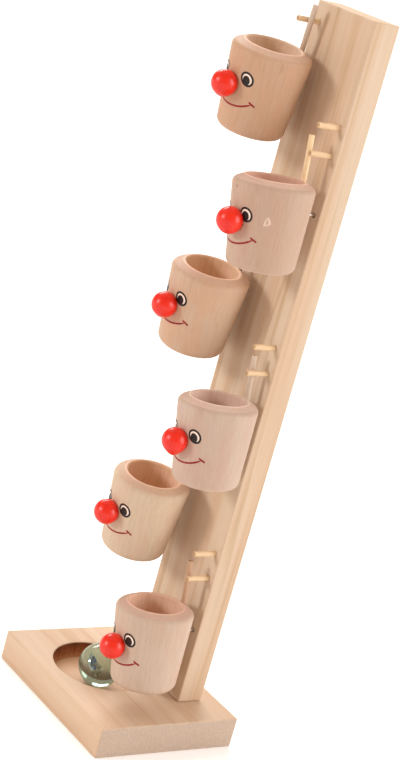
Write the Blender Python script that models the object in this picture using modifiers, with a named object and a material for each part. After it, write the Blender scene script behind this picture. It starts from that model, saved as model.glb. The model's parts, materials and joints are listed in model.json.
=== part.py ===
"""Wooden marble run: six clown cups tip in turn on a board and hand a glass marble down to the base.

Metres, +Z up. The origin is under the middle of the base. The cups face -Y, and +X is the side of the
even cups. Each cup turns on a nail that runs loose in the board, so it hangs a little forward. A rod in
its rim lies against one peg at rest and lands on another peg when the cup has tipped.
"""
import math

import bmesh
import bpy
from mathutils import Matrix

# Driving dimensions: fits
SEAT_GAP = 0.0003          # glued, driven or resting faces
NAIL_PLAY = 0.0005         # nail to board bore, all round
NAIL_CONTACT_GAP = 0.00015  # left of that play where the tilted nail bears in its bore

# Driving dimensions: marble and cups
MARBLE_RADIUS = 0.0125
CUP_MARBLE_PLAY = 0.0030   # cavity wall to marble
CUP_WALL = 0.0065          # cavity to outside, at the rim
CUP_HEIGHT = 0.0475
CUP_TAPER = 0.0041         # how much slimmer the foot is, on the radius
CAVITY_DEPTH = 0.0155
CAVITY_FILLET = 0.0020
CUP_MOUTH_EDGE = 0.0005
CUP_RIM_DROP = 0.0014
CUP_RIM_ROUND = 0.0022
CUP_FOOT_ROUND = 0.0045
CUP_COUNT = 6
CUP_STEP_GAP = 0.0132      # added to a cup's height for the step between neighbours
CUP_OVER_BASE = 0.0143     # lowest cup's foot above the base
CUP_STANDOFFS = (0.0042, 0.0086, 0.0041, 0.0045, 0.0052, 0.0078)  # bare nail, top cup first

# Driving dimensions: noses
NOSE_RADIUS = 0.0070
NOSE_SEAT_DEPTH = 0.0030
NOSE_BELOW_NAIL = 0.0046

# Driving dimensions: nails
NAIL_RADIUS = 0.0009
NAIL_BELOW_CAVITY = 0.0030
NAIL_GRIP = 0.0140         # length held in the cup
NAIL_POINT = 0.0030
NAIL_HEAD_RADIUS = 0.0022
NAIL_HEAD_THICKNESS = 0.0009
NAIL_HEAD_ROUND = 0.0003

# Driving dimensions: rods and pegs
ROD_RADIUS = 0.0015
ROD_SEAT_DEPTH = 0.0090
ROD_CAVITY_WALL = 0.0010   # wood left between rod hole and cavity
ROD_OVERHANG = 0.0004      # how far the rod reaches past the tip peg's middle
PEG_RADIUS = 0.0015
PEG_SEAT_DEPTH = 0.0080
PEG_PAST_ROD = 0.0005
REST_PEG_RISE = 0.0331     # above the nail, where the rod passes
TIP_PEG_DROP = 0.0128      # below the nail, in the other column
STICK_CHAMFER = 0.0003

# Driving dimensions: board
BOARD_WIDTH = 0.0495
BOARD_THICKNESS = 0.0160
BOARD_EDGE_ROUND = 0.0007
BOARD_TOP_MARGIN = 0.0110  # above the top peg
COLUMN_FROM_EDGE = 0.00495  # nails and pegs in from the board's sides

# Driving dimensions: base
BASE_WIDTH = 0.1100
BASE_DEPTH = 0.0910
BASE_THICKNESS = 0.0180
BASE_EDGE_ROUND = 0.0008
BOARD_FROM_BACK = 0.0122
RECESS_DEPTH = 0.0090
RECESS_COVE = 0.0020
RECESS_FRONT_WALL = 0.0097
RECESS_SIDE_WALL = 0.0173  # from the base's -X side
RECESS_UNDER_BOARD = 0.0027
RECESS_TO_COLUMN = -0.0007  # sideways, to the column of odd cups that the last cup pours towards
MARBLE_TO_WALL = 0.0085    # from the marble's side to the recess wall
MARBLE_BEARING = math.radians(-43)  # direction of the marble from the recess's middle

# Driving dimensions: board screws
SCREW_SPACING = 0.0280
SCREW_RADIUS = 0.0018
SCREW_LENGTH = 0.0400
SCREW_POINT = 0.0050
SCREW_HEAD_RADIUS = 0.0036
SCREW_HEAD_HEIGHT = 0.0022
SCREW_HEAD_RIM = 0.0004
SCREW_SUNK = 0.0005

# Smoothness of the round pieces
CUP_STEPS = 36
RECESS_STEPS = 44
BALL_SEGMENTS = 20
BALL_RINGS = 12
MARBLE_SEGMENTS = 24
MARBLE_RINGS = 16
STICK_SIDES = 12
NAIL_STEPS = 12
SCREW_STEPS = 16
MERGE = 0.00001

# Sizes that follow from the driving dimensions
CAVITY_RADIUS = MARBLE_RADIUS + CUP_MARBLE_PLAY
CUP_TOP_RADIUS = CAVITY_RADIUS + CUP_WALL
RIM_ABOVE_NAIL = CAVITY_DEPTH + NAIL_BELOW_CAVITY
FOOT_BELOW_NAIL = CUP_HEIGHT - RIM_ABOVE_NAIL
CUP_STEP = CUP_HEIGHT + CUP_STEP_GAP
DROOP = math.atan(2 * (NAIL_PLAY - NAIL_CONTACT_GAP) / BOARD_THICKNESS)
BOARD_BACK_Y = BASE_DEPTH / 2 - BOARD_FROM_BACK
BOARD_FRONT_Y = BOARD_BACK_Y - BOARD_THICKNESS
BOARD_MIDDLE_Y = BOARD_BACK_Y - BOARD_THICKNESS / 2
BOARD_FOOT_Z = BASE_THICKNESS + SEAT_GAP
COLUMN_OFFSET = BOARD_WIDTH / 2 - COLUMN_FROM_EDGE
RECESS_RADIUS = (BOARD_FRONT_Y + RECESS_UNDER_BOARD + BASE_DEPTH / 2 - RECESS_FRONT_WALL) / 2
RECESS_X = -BASE_WIDTH / 2 + RECESS_SIDE_WALL + RECESS_RADIUS
RECESS_Y = -BASE_DEPTH / 2 + RECESS_FRONT_WALL + RECESS_RADIUS
RECESS_FLOOR_Z = BASE_THICKNESS - RECESS_DEPTH
BOARD_X = RECESS_X + RECESS_TO_COLUMN + COLUMN_OFFSET
ROD_FROM_AXIS = CAVITY_RADIUS + ROD_CAVITY_WALL + SEAT_GAP + ROD_RADIUS
STOP_DISTANCE = ROD_RADIUS + PEG_RADIUS + SEAT_GAP
LEAN = math.asin(STOP_DISTANCE / REST_PEG_RISE)
ROD_REACH = math.hypot(2 * COLUMN_OFFSET, TIP_PEG_DROP) + ROD_OVERHANG
LOWEST_BORE_Z = BASE_THICKNESS + CUP_OVER_BASE + FOOT_BELOW_NAIL


def cup_radius(height):
    """Outer radius of a cup's wall at a height above its nail."""
    return CUP_TOP_RADIUS - CUP_TAPER * (RIM_ABOVE_NAIL - height) / CUP_HEIGHT


def cup_side(number):
    """+1 for odd cups, which stand in the -X column and lean towards +X, and -1 for even cups."""
    return 1 if number % 2 else -1


def column_x(side):
    """Middle of a column of nails and pegs."""
    return BOARD_X - side * COLUMN_OFFSET


def bore_z(number):
    """Height of a cup's bore in the board."""
    return LOWEST_BORE_Z + CUP_STEP * (CUP_COUNT - number)


def cup_reach(number):
    """Distance along the nail from the middle of the board to the cup's own axis."""
    return BOARD_THICKNESS / 2 + CUP_STANDOFFS[number - 1] + cup_radius(0)


def nail_z_at_rod(number):
    """Height of the drooping nail under the rod, which the two stop pegs are set out from."""
    return bore_z(number) - (cup_reach(number) - ROD_FROM_AXIS) * math.sin(DROOP)


def rod_from_board(number):
    """Distance of a rod's far side from the board's face, at the height of its rest peg."""
    foot = cup_reach(number) - ROD_FROM_AXIS - BOARD_THICKNESS / 2
    return foot + REST_PEG_RISE * math.sin(DROOP) + ROD_RADIUS


PEG_PROUD = max(rod_from_board(number) for number in range(1, CUP_COUNT + 1)) + PEG_PAST_ROD
BOARD_TOP_Z = nail_z_at_rod(1) + REST_PEG_RISE + BOARD_TOP_MARGIN
BOARD_HEIGHT = BOARD_TOP_Z - BOARD_FOOT_Z


def clear_scene():
    """Removes what the scene holds before the build."""
    for old in list(bpy.data.objects):
        bpy.data.objects.remove(old, do_unlink=True)


def make_collection(name):
    """A collection linked to the scene."""
    made = bpy.data.collections.new(name)
    bpy.context.scene.collection.children.link(made)
    return made


def make_material(name, colour, roughness, metallic=0.0, transmission=0.0):
    """A plain finish."""
    made = bpy.data.materials.new(name)
    made.use_nodes = True
    shader = made.node_tree.nodes["Principled BSDF"]
    shader.inputs["Base Color"].default_value = (*colour, 1.0)
    shader.inputs["Roughness"].default_value = roughness
    shader.inputs["Metallic"].default_value = metallic
    shader.inputs["Transmission Weight"].default_value = transmission
    return made


def add_object(name, mesh, collection, material=None, parent=None, location=(0, 0, 0), rotation=(0, 0, 0)):
    """An object with its mesh, finish and place."""
    made = bpy.data.objects.new(name, mesh)
    collection.objects.link(made)
    made.parent = parent
    made.location = location
    made.rotation_euler = rotation
    if material:
        mesh.materials.append(material)
    return made


def as_cutter(made):
    """Marks an object as one that only cuts others."""
    made.hide_render = True
    made.display_type = "WIRE"
    return made


def mesh_from(name, build):
    """A mesh filled by a function that takes an empty bmesh."""
    mesh = bpy.data.meshes.new(name)
    shape = bmesh.new()
    build(shape)
    shape.to_mesh(mesh)
    shape.free()
    return mesh


def box_mesh(name, width, depth, height):
    """A box about its own middle."""
    scale = Matrix.Diagonal((width, depth, height, 1.0))
    return mesh_from(name, lambda shape: bmesh.ops.create_cube(shape, size=1.0, matrix=scale))


def stick_mesh(name, radius, length):
    """A round stick along Z about its own middle, half a facet off the axes."""
    turn = Matrix.Rotation(math.pi / STICK_SIDES, 4, "Z")

    def build(shape):
        bmesh.ops.create_cone(shape, cap_ends=True, segments=STICK_SIDES, radius1=radius, radius2=radius,
                              depth=length, matrix=turn)
    mesh = mesh_from(name, build)
    mesh.shade_smooth()
    mesh.set_sharp_from_angle(angle=math.radians(50))
    return mesh


def ball_mesh(name, radius, segments, rings):
    """A ball about its own middle, half a facet off the axes."""
    turn = Matrix.Rotation(math.pi / segments, 4, "Z")

    def build(shape):
        bmesh.ops.create_uvsphere(shape, u_segments=segments, v_segments=rings, radius=radius, matrix=turn)
    mesh = mesh_from(name, build)
    mesh.shade_smooth()
    return mesh


def arc(middle_x, middle_z, radius, start, end, pieces):
    """Points of an arc in a turned profile, angles in degrees from +X."""
    points = []
    for index in range(pieces + 1):
        angle = math.radians(start + (end - start) * index / pieces)
        points.append((middle_x + radius * math.cos(angle), middle_z + radius * math.sin(angle)))
    return points


def add_turned(name, profile, steps, collection, **place):
    """A shape turned about Z from a profile that runs down its outer side."""
    mesh = bpy.data.meshes.new(name)
    points = [(x, 0.0, z) for x, z in profile]
    edges = [(index, index + 1) for index in range(len(points) - 1)]
    mesh.from_pydata(points, edges, [])
    made = add_object(name, mesh, collection, **place)
    screw = made.modifiers.new("turned", "SCREW")
    screw.axis = "Z"
    screw.steps = steps
    screw.render_steps = steps
    screw.use_merge_vertices = True
    screw.merge_threshold = MERGE
    screw.use_smooth_shade = True
    return made


def round_edges(made, width, segments=2):
    """Breaks the sharp edges of a wooden piece."""
    bevel = made.modifiers.new("edges", "BEVEL")
    bevel.width = width
    bevel.segments = segments
    bevel.limit_method = "ANGLE"
    bevel.angle_limit = math.radians(50)


def cut(made, cutter):
    """Takes a cutter, or a whole collection of them, away from a piece."""
    boolean = made.modifiers.new("cut " + cutter.name, "BOOLEAN")
    boolean.operation = "DIFFERENCE"
    boolean.solver = "EXACT"
    if isinstance(cutter, bpy.types.Collection):
        boolean.operand_type = "COLLECTION"
        boolean.collection = cutter
    else:
        boolean.object = cutter


def add_base(parts, cutters, wood):
    """The base plate with its edges broken and the round recess that catches the marble."""
    mesh = box_mesh("base_plate", BASE_WIDTH, BASE_DEPTH, BASE_THICKNESS)
    base = add_object("base_plate", mesh, parts, wood, location=(0, 0, BASE_THICKNESS / 2))
    round_edges(base, BASE_EDGE_ROUND)
    top = BASE_THICKNESS + RECESS_COVE
    cove = arc(RECESS_RADIUS - RECESS_COVE, RECESS_FLOOR_Z + RECESS_COVE, RECESS_COVE, 0, -90, 3)
    profile = [(0, top), (RECESS_RADIUS, top), *cove, (0, RECESS_FLOOR_Z)]
    place = {"location": (RECESS_X, RECESS_Y, 0)}
    cut(base, as_cutter(add_turned("recess_cutter", profile, RECESS_STEPS, cutters, **place)))
    return base


def add_board(parts, holes, wood):
    """The upright board with all its holes."""
    mesh = box_mesh("back_board", BOARD_WIDTH, BOARD_THICKNESS, BOARD_HEIGHT)
    middle = (BOARD_X, BOARD_MIDDLE_Y, BOARD_FOOT_Z + BOARD_HEIGHT / 2)
    board = add_object("back_board", mesh, parts, wood, location=middle)
    round_edges(board, BOARD_EDGE_ROUND)
    cut(board, holes)


def screw_profile(gap):
    """A countersunk screw, point up, grown by a gap for the hole that it passes through."""
    head_top = SCREW_SUNK + SCREW_HEAD_HEIGHT
    point_z = SCREW_SUNK + SCREW_LENGTH
    radius = SCREW_RADIUS + gap
    head_radius = SCREW_HEAD_RADIUS + gap
    foot = SCREW_SUNK if gap == 0 else -gap
    return [(0, point_z + gap), (radius, point_z - SCREW_POINT + gap), (radius, head_top + gap),
            (head_radius, SCREW_SUNK + SCREW_HEAD_RIM + gap), (head_radius, foot), (0, foot)]


def add_screws(parts, holes, steel, base):
    """Two screws that hold the board from under the base."""
    for number, side in ((1, -1), (2, 1)):
        place = {"location": (BOARD_X + side * SCREW_SPACING / 2, BOARD_MIDDLE_Y, 0)}
        hole = add_turned(f"screw_cutter_{number}", screw_profile(SEAT_GAP), SCREW_STEPS, holes, **place)
        cut(base, as_cutter(hole))
        add_turned(f"board_screw_{number}", screw_profile(0), SCREW_STEPS, parts, material=steel, **place)


def add_pivot(number, cutters, holes):
    """The middle of a cup's bore: its Y axis runs along the drooping nail, its Z axis along the cup."""
    side = cup_side(number)
    middle = (column_x(side), BOARD_MIDDLE_Y, bore_z(number))
    pivot = add_object(f"pivot_{number}", None, cutters, location=middle)
    pivot.matrix_basis = (Matrix.Translation(middle) @ Matrix.Rotation(DROOP, 4, "X")
                          @ Matrix.Rotation(side * LEAN, 4, "Y"))
    bore_mesh = stick_mesh("bore", NAIL_RADIUS + NAIL_PLAY, 2 * BOARD_THICKNESS)
    turned = (math.radians(90), 0, 0)
    as_cutter(add_object(f"bore_cutter_{number}", bore_mesh, holes, None, None, middle, turned))
    return pivot


def cup_profile():
    """A cup from the middle of its cavity, over the rim and down the wall to the middle of its foot."""
    floor = RIM_ABOVE_NAIL - CAVITY_DEPTH
    foot = -FOOT_BELOW_NAIL
    round_z = RIM_ABOVE_NAIL - CUP_RIM_DROP - CUP_RIM_ROUND
    foot_z = foot + CUP_FOOT_ROUND
    fillet = arc(CAVITY_RADIUS - CAVITY_FILLET, floor + CAVITY_FILLET, CAVITY_FILLET, -90, 0, 2)
    mouth = arc(CAVITY_RADIUS + CUP_MOUTH_EDGE, RIM_ABOVE_NAIL - CUP_MOUTH_EDGE, CUP_MOUTH_EDGE, 180, 90, 2)
    rim = arc(cup_radius(round_z) - CUP_RIM_ROUND, round_z, CUP_RIM_ROUND, 70, 0, 3)
    edge = arc(cup_radius(foot_z) - CUP_FOOT_ROUND, foot_z, CUP_FOOT_ROUND, 0, -90, 4)
    return [(0, floor), *fillet, *mouth, *rim, *edge, (0, foot)]


def add_cup(number, pivot, parts, cutters, wood):
    """A turned cup with holes for its nail and rod and a hollow seat for its nose."""
    axis = (0, -cup_reach(number), 0)
    cup = add_turned(f"cup_{number}", cup_profile(), CUP_STEPS, parts, material=wood, parent=pivot, location=axis)
    drilled = 2 * (NAIL_GRIP + SEAT_GAP)
    nail_mesh = stick_mesh("nail_hole", NAIL_RADIUS + SEAT_GAP, drilled)
    nail_hole = add_object(f"nail_cutter_{number}", nail_mesh, cutters, None, cup, (0, cup_radius(0), 0),
                           (math.radians(90), 0, 0))
    rod_mesh = stick_mesh("rod_hole", ROD_RADIUS + SEAT_GAP, 2 * (ROD_SEAT_DEPTH + SEAT_GAP))
    rod_hole = add_object(f"rod_cutter_{number}", rod_mesh, cutters, None, cup,
                          (0, ROD_FROM_AXIS, RIM_ABOVE_NAIL))
    seat_mesh = ball_mesh("nose_seat", NOSE_RADIUS + SEAT_GAP, BALL_SEGMENTS, BALL_RINGS)
    seat = add_object(f"nose_cutter_{number}", seat_mesh, cutters, None, cup, nose_place())
    for cutter in (nail_hole, rod_hole, seat):
        cut(cup, as_cutter(cutter))
    return cup


def nose_place():
    """Middle of a nose in its cup's frame: a ball let into the front of the wall."""
    out = cup_radius(-NOSE_BELOW_NAIL) + NOSE_RADIUS - NOSE_SEAT_DEPTH
    return (0, -out, -NOSE_BELOW_NAIL)


def add_nose(number, cup, parts, paint):
    """A lacquered ball."""
    mesh = ball_mesh(f"nose_{number}", NOSE_RADIUS, BALL_SEGMENTS, BALL_RINGS)
    add_object(f"nose_{number}", mesh, parts, paint, cup, nose_place())


def add_nail(number, pivot, parts, steel):
    """The nail that carries a cup: its head lies behind the board and its point is driven into the cup."""
    under_head = BOARD_THICKNESS / 2 + SEAT_GAP
    top = under_head + NAIL_HEAD_THICKNESS
    point = -(BOARD_THICKNESS / 2 + CUP_STANDOFFS[number - 1] + NAIL_GRIP)
    head = arc(NAIL_HEAD_RADIUS - NAIL_HEAD_ROUND, top - NAIL_HEAD_ROUND, NAIL_HEAD_ROUND, 90, 0, 2)
    profile = [(0, top), *head, (NAIL_HEAD_RADIUS, under_head), (NAIL_RADIUS, under_head),
               (NAIL_RADIUS, point + NAIL_POINT), (0, point)]
    add_turned(f"pivot_nail_{number}", profile, NAIL_STEPS, parts, material=steel, parent=pivot,
               rotation=(math.radians(-90), 0, 0))


def add_rod(number, cup, parts, wood):
    """The rod in the back of a cup's rim that the two pegs stop."""
    foot = RIM_ABOVE_NAIL - ROD_SEAT_DEPTH
    mesh = stick_mesh(f"stop_rod_{number}", ROD_RADIUS, ROD_REACH - foot)
    rod = add_object(f"stop_rod_{number}", mesh, parts, wood, cup, (0, ROD_FROM_AXIS, (ROD_REACH + foot) / 2))
    round_edges(rod, STICK_CHAMFER, segments=1)


def add_peg(name, x, z, parts, holes, wood):
    """A peg glued into the face of the board."""
    turned = (math.radians(90), 0, 0)
    middle = (x, BOARD_FRONT_Y + (PEG_SEAT_DEPTH - PEG_PROUD) / 2, z)
    peg = add_object(name, stick_mesh(name, PEG_RADIUS, PEG_SEAT_DEPTH + PEG_PROUD), parts, wood, None, middle, turned)
    round_edges(peg, STICK_CHAMFER, segments=1)
    hole_mesh = stick_mesh("peg_hole", PEG_RADIUS + SEAT_GAP, 2 * (PEG_SEAT_DEPTH + SEAT_GAP))
    as_cutter(add_object(name + "_cutter", hole_mesh, holes, None, None, (x, BOARD_FRONT_Y, z), turned))


def add_pegs(number, parts, holes, wood):
    """The peg that a cup's rod rests against and the peg that it tips onto."""
    side = cup_side(number)
    nail_z = nail_z_at_rod(number)
    add_peg(f"rest_peg_{number}", column_x(side), nail_z + REST_PEG_RISE, parts, holes, wood)
    add_peg(f"tip_peg_{number}", column_x(-side), nail_z - TIP_PEG_DROP, parts, holes, wood)


def add_marble(parts, glass):
    """The marble, lying in the recess."""
    away = RECESS_RADIUS - MARBLE_RADIUS - MARBLE_TO_WALL
    x = RECESS_X + away * math.cos(MARBLE_BEARING)
    y = RECESS_Y + away * math.sin(MARBLE_BEARING)
    mesh = ball_mesh("marble", MARBLE_RADIUS, MARBLE_SEGMENTS, MARBLE_RINGS)
    add_object("marble", mesh, parts, glass, None, (x, y, RECESS_FLOOR_Z + SEAT_GAP + MARBLE_RADIUS))


def main():
    """Builds the whole toy."""
    clear_scene()
    parts = make_collection("marble_run")
    cutters = make_collection("marble_run_cutters")
    holes = make_collection("marble_run_board_holes")
    base_wood = make_material("base wood", (0.72, 0.47, 0.28), 0.55)
    board_wood = make_material("board pine", (0.74, 0.47, 0.23), 0.50)
    cup_wood = make_material("cup wood", (0.70, 0.45, 0.30), 0.55)
    stick_wood = make_material("stick wood", (0.75, 0.50, 0.27), 0.60)
    red_paint = make_material("red lacquer", (0.80, 0.02, 0.01), 0.15)
    nail_steel = make_material("nail steel", (0.62, 0.60, 0.57), 0.30, metallic=1.0)
    screw_steel = make_material("screw steel", (0.70, 0.62, 0.42), 0.35, metallic=1.0)
    marble_glass = make_material("marble glass", (0.62, 0.75, 0.66), 0.03, transmission=1.0)
    base = add_base(parts, cutters, base_wood)
    add_board(parts, holes, board_wood)
    add_screws(parts, holes, screw_steel, base)
    for number in range(1, CUP_COUNT + 1):
        pivot = add_pivot(number, cutters, holes)
        cup = add_cup(number, pivot, parts, cutters, cup_wood)
        add_nose(number, cup, parts, red_paint)
        add_nail(number, pivot, parts, nail_steel)
        add_rod(number, cup, parts, stick_wood)
        add_pegs(number, parts, holes, stick_wood)
    add_marble(parts, marble_glass)


main()
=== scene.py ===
# %% [markdown]
# # A wooden marble run
# Six turned cups with painted faces hang on nails, one above the other, on an upright pine board.
# A glass marble dropped into the top cup tips it over, falls into the next one, and so on down to the
# round recess in the base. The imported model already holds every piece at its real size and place.
# This lesson gives the pieces their finish, so it starts by loading that model as a fixed frame.

import json
import math

import bmesh
import bpy
from mathutils import Matrix, Quaternion, Vector, noise

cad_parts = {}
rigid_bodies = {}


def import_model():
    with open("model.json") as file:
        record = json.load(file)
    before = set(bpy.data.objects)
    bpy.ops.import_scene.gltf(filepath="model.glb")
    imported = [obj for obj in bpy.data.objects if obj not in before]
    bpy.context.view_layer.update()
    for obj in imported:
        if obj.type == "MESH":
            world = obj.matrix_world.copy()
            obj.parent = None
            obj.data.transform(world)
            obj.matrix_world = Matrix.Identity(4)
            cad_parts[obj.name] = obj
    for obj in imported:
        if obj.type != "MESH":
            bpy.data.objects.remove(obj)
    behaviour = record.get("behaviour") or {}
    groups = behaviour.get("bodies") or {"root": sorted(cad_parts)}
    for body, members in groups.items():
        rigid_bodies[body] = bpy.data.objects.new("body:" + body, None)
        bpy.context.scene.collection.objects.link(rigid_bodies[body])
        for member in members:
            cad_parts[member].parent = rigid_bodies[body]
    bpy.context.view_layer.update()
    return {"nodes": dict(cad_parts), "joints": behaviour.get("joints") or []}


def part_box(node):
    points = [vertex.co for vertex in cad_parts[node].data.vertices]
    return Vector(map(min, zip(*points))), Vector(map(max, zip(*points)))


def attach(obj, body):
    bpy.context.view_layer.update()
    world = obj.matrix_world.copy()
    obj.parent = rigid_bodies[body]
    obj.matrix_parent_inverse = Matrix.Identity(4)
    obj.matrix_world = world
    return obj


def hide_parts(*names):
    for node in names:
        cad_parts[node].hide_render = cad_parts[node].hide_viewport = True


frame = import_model()
MM = 0.001
CUP_NUMBERS = range(1, 7)

# %% [markdown]
# ## The camera
# The picture looks down at the toy from its front right corner, and it is tilted, so the upright board
# leans to the right. A camera could be turned with three Euler angles. A place, a point to aim at and a
# roll about the line of sight are easier to read and to change, so the turn is worked out from those.

# %% Camera
CAMERA_PLACE = Vector((0.7702, -0.6111, 0.4910))
CAMERA_AIM = Vector((-0.0001, -0.0026, 0.1987))
CAMERA_ROLL = math.radians(15.68)
CAMERA_LENS = 89.85  # in millimetres, as the sensor's long side is
SENSOR_SIDE = 36
SCENE_OBJECTS = bpy.context.scene.collection.objects

camera = bpy.data.objects.new("camera", bpy.data.cameras.new("camera"))
SCENE_OBJECTS.link(camera)
camera.data.lens = CAMERA_LENS
camera.data.sensor_width = SENSOR_SIDE
camera.location = CAMERA_PLACE
camera.rotation_mode = "QUATERNION"
level = (CAMERA_AIM - CAMERA_PLACE).to_track_quat("-Z", "Y")
camera.rotation_quaternion = level @ Quaternion((0, 0, 1), CAMERA_ROLL)
bpy.context.scene.camera = camera
print("camera", round((CAMERA_AIM - CAMERA_PLACE).length, 3), "m from the toy")

# %% [markdown]
# ## Node helpers
# Every finish here is a small tree of texture nodes that feeds one Principled shader. Wiring nodes by hand
# takes three lines each, so one helper adds a node, sets its properties and feeds its inputs. The others
# make what comes up in most finishes: a colour ramp, a mix of two colours, drawn-out noise and a bump.

# %% Colours and nodes


def tone(red, green, blue):
    """A colour as a paint chart gives it, 0 to 255, as the linear light that shaders use."""
    parts = [part / 255 for part in (red, green, blue)]
    linear = [part / 12.92 if part <= 0.04045 else ((part + 0.055) / 1.055) ** 2.4 for part in parts]
    return (*linear, 1.0)


def feed(tree, node, inputs):
    """Gives each named input of a node a value, or a link from a socket or from a node's first output."""
    for name, value in inputs.items():
        if isinstance(value, bpy.types.Node):
            value = value.outputs[0]
        if isinstance(value, bpy.types.NodeSocket):
            tree.links.new(value, node.inputs[name])
        else:
            node.inputs[name].default_value = value


def add_node(tree, kind, inputs, **settings):
    """A node of a kind, with its properties set and its inputs fed."""
    node = tree.nodes.new("ShaderNode" + kind)
    for name, value in settings.items():
        setattr(node, name, value)
    feed(tree, node, inputs)
    return node


def new_finish(name):
    """A new material, its node tree, its shader and the coordinates of the piece that wears it."""
    finish = bpy.data.materials.new(name)
    finish.use_nodes = True
    tree = finish.node_tree
    return finish, tree, tree.nodes["Principled BSDF"], add_node(tree, "TexCoord", {}).outputs["Object"]


print("a middle grey in linear light:", round(tone(128, 128, 128)[0], 3))

# %% Ramps, noise, mixes and bumps


def add_ramp(tree, fac, stops):
    """A ramp of (place, colour) stops, of which the first and last already exist. A number means a grey."""
    node = add_node(tree, "ValToRGB", {"Fac": fac})
    node.color_ramp.interpolation = "EASE"
    elements = node.color_ramp.elements
    for place, _ in stops[1:-1]:
        elements.new(place)
    for element, (place, colour) in zip(elements, stops):
        element.position = place
        element.color = colour if isinstance(colour, tuple) else (colour, colour, colour, 1.0)
    return node


def noise_along(tree, coords, stretch, scale, detail=2.0, place=(0, 0, 0)):
    """Noise that is drawn out along Z: stretch below 1 makes it longer there."""
    spread = add_node(tree, "Mapping", {"Vector": coords, "Scale": (1, 1, stretch), "Location": place})
    return add_node(tree, "TexNoise", {"Vector": spread, "Scale": scale, "Detail": detail})


def mix(tree, share, first, second, blend_type="MIX"):
    """The second colour over the first by a share, or blended with it in another way."""
    return add_node(tree, "MixRGB", {"Fac": share, "Color1": first, "Color2": second}, blend_type=blend_type)


def bumped(tree, height, strength, distance):
    """A surface that follows a height."""
    return add_node(tree, "Bump", {"Height": height, "Strength": strength, "Distance": distance})


print("node helpers ready")

# %% [markdown]
# ## Floor and light
# The toy stands on a white studio floor. Lamps at a distance would leave the far floor grey, so the soft
# boxes are suns with a wide disc: their light is the same everywhere, and the disc makes the shadows soft.
# The ones behind on the left are what the marble's foot bends into bright crescents. The light from all
# round is warm, so the shadows are brown, but the camera sees it as plain white, and the floor glows a little
# for the camera. The floor is clear from below and open under the base, so a camera below it sees the screws.

# %% Floor
FLOOR_SIZE = 60.0
FLOOR_HEIGHT = 0.05 * MM
OPENING_INSET = 6 * MM
FLOOR_WHITE = (0.94, 0.94, 0.94, 1.0)
FLOOR_GLOW = 0.3
WHITE = (1.0, 1.0, 1.0, 1.0)


def add_floor():
    """A plain pale floor round the toy's foot, clear from below."""
    base_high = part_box("base_plate")[1]
    outside = (FLOOR_SIZE / 2, FLOOR_SIZE / 2)
    inside = (base_high.x - OPENING_INSET, base_high.y - OPENING_INSET)
    corners = [(x * wide, y * deep, FLOOR_HEIGHT) for wide, deep in (outside, inside)
               for x, y in ((-1, -1), (1, -1), (1, 1), (-1, 1))]
    strips = [(side, (side + 1) % 4, 4 + (side + 1) % 4, 4 + side) for side in range(4)]
    mesh = bpy.data.meshes.new("floor")
    mesh.from_pydata(corners, [], strips)
    floor = bpy.data.objects.new("floor", mesh)
    SCENE_OBJECTS.link(floor)
    paint, tree, shader, _ = new_finish("floor_white")
    path = add_node(tree, "LightPath", {})
    glow = add_node(tree, "Math", {0: path.outputs["Is Camera Ray"], 1: FLOOR_GLOW}, operation="MULTIPLY")
    feed(tree, shader, {"Base Color": FLOOR_WHITE, "Roughness": 0.9, "Specular IOR Level": 0.0,
                        "Emission Color": WHITE, "Emission Strength": glow})
    side = add_node(tree, "NewGeometry", {})
    clear = add_node(tree, "BsdfTransparent", {})
    either = add_node(tree, "MixShader", {"Fac": side.outputs["Backfacing"], 1: shader, 2: clear})
    feed(tree, tree.nodes["Material Output"], {"Surface": either})
    mesh.materials.append(paint)


add_floor()
print("floor", FLOOR_SIZE, "m wide")

# %% Sky
SKY_TINT = (1.0, 0.73, 0.56, 1.0)
SKY_STRENGTH = 0.46


def add_sky():
    """Even warm light from all round, which the camera itself sees as white."""
    sky = bpy.data.worlds.new("sky")
    sky.use_nodes = True
    tree = sky.node_tree
    warm = tree.nodes["Background"]
    feed(tree, warm, {"Color": SKY_TINT, "Strength": SKY_STRENGTH})
    plain = add_node(tree, "Background", {"Color": WHITE})
    path = add_node(tree, "LightPath", {})
    either = add_node(tree, "MixShader", {"Fac": path.outputs["Is Camera Ray"], 1: warm, 2: plain})
    feed(tree, tree.nodes["World Output"], {"Surface": either})
    bpy.context.scene.world = sky


add_sky()
print("sky strength", SKY_STRENGTH)

# %% Soft boxes
SOFT_BOXES = {  # azimuth and height in degrees, strength, disc in degrees, and whether gloss shows it
    "left_box": (-14, 17, 1.22, 14, True),
    "right_box": (128, 20, 1.97, 40, True),
    "back_box_1": (-96, 32, 0.43, 18, True),
    "back_box_2": (-111, 32, 0.43, 18, True),
    "back_box_3": (-126, 32, 0.43, 18, True),
    "side_box": (-161, 12, 0.13, 20, True),
    "top_box": (-90, 65, 1.32, 50, False),
}


def add_soft_box(name, azimuth, height, strength, disc, glossy):
    """A soft box. Azimuth 0 is in front of the toy and 90 at its +X side."""
    lamp = bpy.data.objects.new(name, bpy.data.lights.new(name, "SUN"))
    SCENE_OBJECTS.link(lamp)
    lamp.data.energy = strength
    lamp.data.angle = math.radians(disc)
    turn = math.radians(azimuth)
    rise = math.radians(height)
    to_lamp = Vector((math.sin(turn) * math.cos(rise), -math.cos(turn) * math.cos(rise), math.sin(rise)))
    lamp.rotation_mode = "QUATERNION"
    lamp.rotation_quaternion = to_lamp.to_track_quat("Z", "Y")
    lamp.visible_glossy = glossy


for box_name, setting in SOFT_BOXES.items():
    add_soft_box(box_name, *setting)
bpy.context.scene.view_settings.view_transform = "Standard"
print("lamps", list(SOFT_BOXES))

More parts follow.
